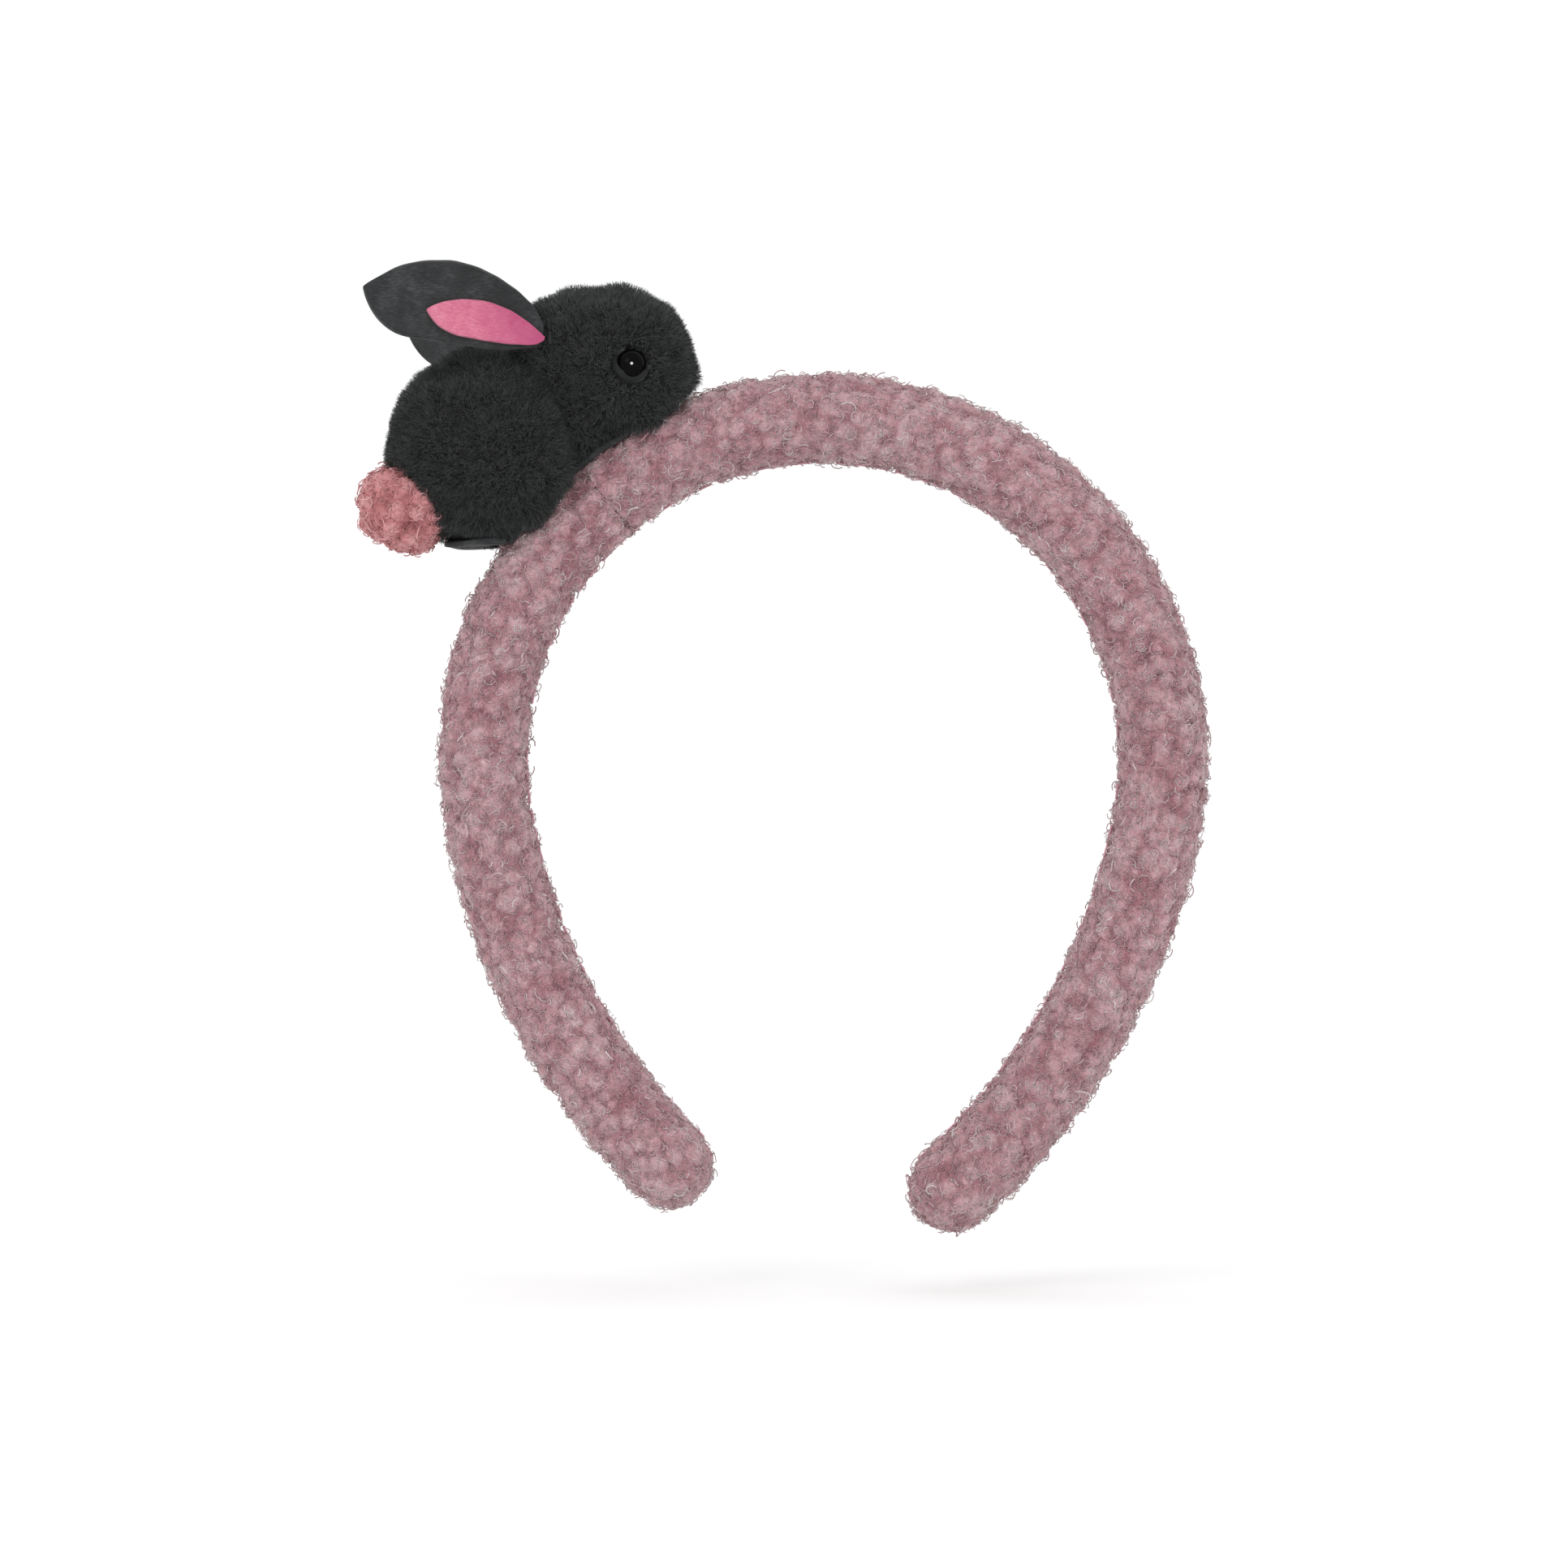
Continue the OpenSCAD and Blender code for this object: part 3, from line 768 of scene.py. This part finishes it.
def felt_finish(name, low, middle, high, sheen):
    """Pressed felt: short fibres laid mostly one way, in uneven patches."""
    made, tree, shader, place = material(name, Roughness=0.92, Sheen_Weight=sheen, Sheen_Roughness=0.5)
    fibre = put(tree, "ShaderNodeMapping", {"Vector": place, "Rotation": (0.3, 0.2, 0.5), "Scale": (1, 1, 4)})
    strands = noise(tree, fibre.outputs[0], 900, 4.0, 0.7)
    level = mix_levels(tree, maths(tree, "MULTIPLY", strands, 0.6), (noise(tree, place, 220, 2.0), 0.4))
    colour_from(tree, shader, level, (0.30, low), (0.5, middle), (0.72, high))
    bump(tree, shader, strands, 0.5, 0.0003)
    return made


dark_felt = felt_finish("dark_felt", (0.009, 0.010, 0.0105), (0.022, 0.024, 0.025), (0.066, 0.069, 0.071),
                        0.06)
pink_felt = felt_finish("pink_felt", (0.45, 0.072, 0.16), (0.60, 0.165, 0.26), (0.74, 0.29, 0.38), 0.15)
tree = pink_felt.node_tree
shader = tree.nodes["Principled BSDF"]
dyed = shader.inputs["Base Color"].links[0].from_socket
place = put(tree, "ShaderNodeTexCoord").outputs["Object"]
# The lining darkens towards the pinched root: painted shade in the ear's cup.
root_shade_share = share_along(tree, place, "X", -0.072, -0.054)
painted_root_shade = put(tree, "ShaderNodeMix", {"Factor": root_shade_share, 6: dyed, 7: (0.42, 0.055, 0.16, 1)},
             data_type="RGBA")
tree.links.new(painted_root_shade.outputs[2], shader.inputs["Base Color"])

for side, word, rise, splay in ((-1, "right", 17.7, 18), (1, "left", 12, 38)):
    place = ear_place(side, rise, splay)
    ear = felt_leaf("ear_felt_" + word + "_cut", place, ear_cut, 0.0, 0.0012, dark_felt, 56, 25)
    lining = felt_leaf("ear_lining_" + word + "_cut", place, lining_cut, 0.00082, 0.0008, pink_felt, 40, 17)
    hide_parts("ear_felt_" + word)
    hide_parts("ear_lining_" + word)
    for piece, cut, wide, long in ((ear, ear_cut, 0.0180, 0.0380), (lining, lining_cut, 0.0100, 0.0250)):
        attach(piece, word + "_ear")


# ---------------------------------------------------------------- eyes
# Each eye is a polished black bead, six millimetres across, moulded in plastic.
# It has a shank on its back that is glued into the head, and the pile is parted round it.

def lathe(name, place, profile, finish, steps=40):
    """A turned solid: profile is (radius, height) from pole to pole."""
    turns = [2 * math.pi * k / steps for k in range(steps)]
    rings = [[place @ Vector((r * math.cos(a), r * math.sin(a), h)) for a in turns] for r, h in profile]
    return tube_of_rings(name, rings, finish)


black_bead, tree, shader, place = material("black_bead", Roughness=0.05, Specular_IOR_Level=0.05)
colour_from(tree, shader, noise(tree, place, 500),
            (0.3, (0.0002, 0.0002, 0.0002)), (0.8, (0.0006, 0.0006, 0.0006)))
eye_r = 0.0031
dome = [(eye_r * math.sin(a), eye_r * math.cos(a)) for a in np.linspace(0.02, 2.75, 26)]
shank = [(0.00085, -0.0034), (0.00075, -0.0040), (0.00075, -0.0078), (0.0004, -0.0080)]
for at, way, word in zip(beads_at, eye_ways, ("right", "left")):
    place = Matrix.Translation(at) @ way.to_track_quat("Z", "Y").to_matrix().to_4x4()
    eye = lathe("bead_eye_" + word, place, dome + shank, black_bead)
    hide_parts("eye_" + word)
    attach(eye, "crown")


# ---------------------------------------------------------------- felt base and foot
# A strip of the same dark felt lies between the pompoms and the band, and a round foot lies under the body.
# Both are cut from sheet a little over a millimetre thick and fixed with hot glue.

strip_in, strip_thick = 0.0094, 0.0012
strip_from, strip_turn, strip_wrap = math.radians(22.5), math.radians(33), math.radians(42)


def saddle_piece():
    """The strip, wrapped a little way round the band's outer side."""
    rows, columns, points = 48, 14, []
    for skin in (0, 1):
        for i in range(rows + 1):
            turn = strip_from + strip_turn * i / rows
            out = Vector((-math.sin(turn), 0, math.cos(turn)))
            middle = Vector((0, 0, crown_z)) + out * crown_r
            for j in range(columns + 1):
                a = strip_wrap * (2 * j / columns - 1)
                uneven = 0.00012 * math.sin(68 * turn + 5 * a)
                far = strip_in + skin * strip_thick + uneven
                wide = (far + band_wide - band_deep) * math.sin(a)
                points.append(middle + out * far * math.cos(a) + Vector((0, wide, 0)))
    return points, rows, columns + 1


strip = closed_sheet("felt_base_strip", *saddle_piece(), dark_felt)
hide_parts("felt_base")
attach(strip, "crown")


foot_r, foot_x, foot_z, foot_thick = 0.0095, -0.0665, -0.0164, 0.0013


def foot_piece():
    """The disc, cut to fit round the band where it meets it, with a soft wave in its free edge."""
    rows, columns, points = 44, 16, []
    over_strip, band_flat, above_centre = 0.0107, 0.0012, 0.042
    for skin in (0, 1):
        for i in range(rows + 1):
            turn = math.radians(-88 + 176 * i / rows)
            y, reach = foot_r * math.sin(turn), foot_r * math.cos(turn)
            bulge = math.sqrt(over_strip ** 2 - max(0.0, abs(y) - band_flat) ** 2)
            meets = -math.sqrt((crown_r + bulge) ** 2 - above_centre ** 2)
            far, near = foot_x - reach, min(meets, foot_x + reach)
            for j in range(columns + 1):
                free = 1 - j / columns
                wave = 0.00028 * free * math.sin(4.2 * turn + 1.0) - 0.00035 * free ** 2
                round_off = 0.00022 * (1 - 2 * skin) * free ** 6
                height = foot_z + foot_thick * skin + wave + round_off
                points.append(Vector((far + (near - far) * j / columns, y, height)))
    return points, rows, columns + 1


foot = closed_sheet("felt_foot_disc", *foot_piece(), dark_felt)
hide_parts("felt_foot")
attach(foot, "crown")


# ---------------------------------------------------------------- thread and glue
# A wound thread ties each pompom at its core, and whip stitches in polyester thread close the cover.
# Hot glue, mostly sunk in the pile, holds the pompoms, the ears and the felt.

thread_pink, tree, shader, place = material("thread_pink", Roughness=0.6)
colour_from(tree, shader, noise(tree, place, 2500), (0.3, (0.42, 0.20, 0.24)), (0.7, (0.62, 0.36, 0.41)))
thread_dark, tree, shader, place = material("thread_dark", Roughness=0.6)
colour_from(tree, shader, noise(tree, place, 2500), (0.3, (0.02, 0.02, 0.022)), (0.7, (0.06, 0.06, 0.065)))
smeared_glue = felt_finish("glue_in_pile", (0.006, 0.006, 0.006), (0.016, 0.017, 0.017), (0.05, 0.05, 0.048),
                           0.0)
smeared_glue.node_tree.nodes["Principled BSDF"].inputs["Roughness"].default_value = 0.4
finish_nodes(thread_pink, "tail_binding")
finish_nodes(thread_dark, "body_binding", "head_binding")
finish_nodes(smeared_glue, "base_glue", "neck_glue", "tail_glue", "ear_glue_right", "ear_glue_left")


def whip_tree():
    """Lays a slanted stitch at every step of a path, each turned to the path."""
    tree, given, out = new_tree("whip_stitches", Pitch="Float", Length="Float", Thread="Float",
                                Finish="Material")
    path = put(tree, "GeometryNodeMeshToCurve", {"Mesh": given["Geometry"]}).outputs[0]
    steps = put(tree, "GeometryNodeResampleCurve", {"Curve": path, "Length": given["Pitch"]}, mode="LENGTH")
    way = put(tree, "ShaderNodeSeparateXYZ", {0: put(tree, "GeometryNodeInputTangent").outputs[0]})
    turn = maths(tree, "ARCTAN2", way.outputs["X"], way.outputs["Z"])
    kept_turns = put(tree, "GeometryNodeStoreNamedAttribute", {"Geometry": steps.outputs[0], "Name": "turns"},
                     data_type="FLOAT_VECTOR", domain="POINT")
    target = next(i for i in kept_turns.inputs if i.name == "Value" and i.enabled)
    tree.links.new(put(tree, "ShaderNodeCombineXYZ", {1: turn}).outputs[0], target)
    marked = put(tree, "GeometryNodeCurveToPoints", {"Curve": kept_turns.outputs[0]},
                 mode="EVALUATED").outputs[0]
    bar = put(tree, "GeometryNodeCurvePrimitiveLine", {"Start": (0, 0, -0.5), "End": (0, 0, 0.5)}).outputs[0]
    bar = put(tree, "GeometryNodeResampleCurve", {"Curve": bar, "Count": 6}).outputs[0]
    share = put(tree, "GeometryNodeSplineParameter").outputs["Factor"]
    slant = maths(tree, "MULTIPLY", maths(tree, "SUBTRACT", share, 0.5), 0.6)
    slanted = put(tree, "ShaderNodeCombineXYZ", {1: slant}).outputs[0]
    bar = put(tree, "GeometryNodeSetPosition", {"Geometry": bar, "Offset": slanted}).outputs[0]
    thread = maths(tree, "DIVIDE", given["Thread"], given["Length"])
    ring = put(tree, "GeometryNodeCurvePrimitiveCircle", {"Resolution": 8, "Radius": thread}).outputs[0]
    stitch = put(tree, "GeometryNodeCurveToMesh",
                 {"Curve": bar, "Profile Curve": ring, "Fill Caps": True}).outputs[0]
    read = put(tree, "GeometryNodeInputNamedAttribute", {"Name": "turns"}, data_type="FLOAT_VECTOR")
    facing = next(o for o in read.outputs if o.name == "Attribute" and o.enabled)
    placed = put(tree, "GeometryNodeInstanceOnPoints",
                 {"Points": marked, "Instance": stitch, "Rotation": facing,
                  "Scale": same_each_way(tree, given["Length"])}).outputs[0]
    real = put(tree, "GeometryNodeRealizeInstances", {"Geometry": placed}).outputs[0]
    return close_tree(tree, out, real, given["Finish"])


def path_piece(name, points):
    """A bare path for stitches to follow."""
    edges = [(i, i + 1) for i in range(len(points) - 1)]
    return placed_in_scene(name, new_mesh(name, points, edges, []))


whip = whip_tree()
seam_deep = band_deep + 0.0002
for side, word in sides.items():
    length = band_length(side)
    line = [band_frame(side, length * i / 240) for i in range(241)]
    seam = path_piece("seam_thread_" + word, [point - out * seam_deep for point, out, on in line])
    point, out, on = line[-1]
    bends = np.linspace(2.4, 0.8, 24)
    over_tip = [point + on * band_deep * math.sin(a) + out * band_deep * math.cos(a) for a in bends]
    closing = path_piece("tip_thread_" + word, over_tip)
    for piece, pitch in ((seam, 0.0040), (closing, 0.0028)):
        grow(piece, whip, Pitch=pitch, Length=0.0026, Thread=0.00028, Finish=thread_pink)
    if side < 0:
        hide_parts("seam_crown", "seam_left_arm")
    else:
        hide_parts("seam_right_arm")
    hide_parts("end_stitches_" + word)
    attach(closing, word + "_arm")
    bend_at_arm(seam, side)


# ---------------------------------------------------------------- studio
# A white paper sweep, with a broad soft light on each side and even light from all round.
# A small light by the camera reaches only the beads and gives them their glint.

floor_gap = 0.0125


def sweep():
    """A floor that curves up into a back wall."""
    low, back, curve, half_wide, top = cad_box[0][2] - floor_gap, 2.2, 1.5, 6.0, 7.0
    bends = np.linspace(0, math.pi / 2, 24)
    line = [(-half_wide, low)]
    line += [(back + curve * math.sin(a), low + curve * (1 - math.cos(a))) for a in bends]
    line += [(back + curve, top)]
    points = [(x, y, z) for y, z in line for x in (-half_wide, half_wide)]
    faces = [(2 * i, 2 * i + 1, 2 * i + 3, 2 * i + 2) for i in range(len(line) - 1)]
    mesh = new_mesh("sweep", points, [], faces)
    mesh.shade_smooth()
    paper = material("white_paper", Roughness=0.9, Base_Color=(0.96, 0.96, 0.96, 1))[0]
    mesh.materials.append(paper)
    placed_in_scene("sweep", mesh)


def soft_light(name, at, size, power, seen=False):
    """A round light aimed at the middle of the band."""
    lamp = bpy.data.lights.new(name, "AREA")
    lamp.shape, lamp.size, lamp.energy = "DISK", size, power
    made = placed_in_scene(name, lamp)
    made.location = at
    made.rotation_euler = (Vector((0, 0, -0.06)) - Vector(at)).to_track_quat("-Z", "Y").to_euler()
    made.visible_glossy = seen
    return made


sweep()
world = bpy.data.worlds.new("studio")
world.use_nodes = True
all_round = world.node_tree.nodes["Background"].inputs
all_round["Color"].default_value = (1, 1, 1, 1)
all_round["Strength"].default_value = 1.06
bpy.context.scene.world = world
soft_light("key", (-0.9, -1.5, 0.9), 1.1, 6, seen=True)
soft_light("fill", (1.2, -1.4, 0.3), 1.2, 3)
glint = soft_light("glint", (0.10, -1.25, 0.12), 0.46, 90, seen=True)
beads = bpy.data.collections.new("beads")
for word in sides.values():
    beads.objects.link(bpy.data.objects["bead_eye_" + word])
glint.light_linking.receiver_collection = beads

lens = bpy.data.cameras.new("camera")
lens.lens, lens.sensor_width = 135, 36
lens.clip_start, lens.clip_end = 0.05, 30
camera = placed_in_scene("camera", lens)
frame_wide = 0.3149
distance = frame_wide * lens.lens / lens.sensor_width
camera.location = (-0.0078, -distance, -0.0641)
camera.rotation_euler = (math.pi / 2, 0, 0)
bpy.context.scene.camera = camera
bpy.context.scene.view_settings.view_transform = "Standard"
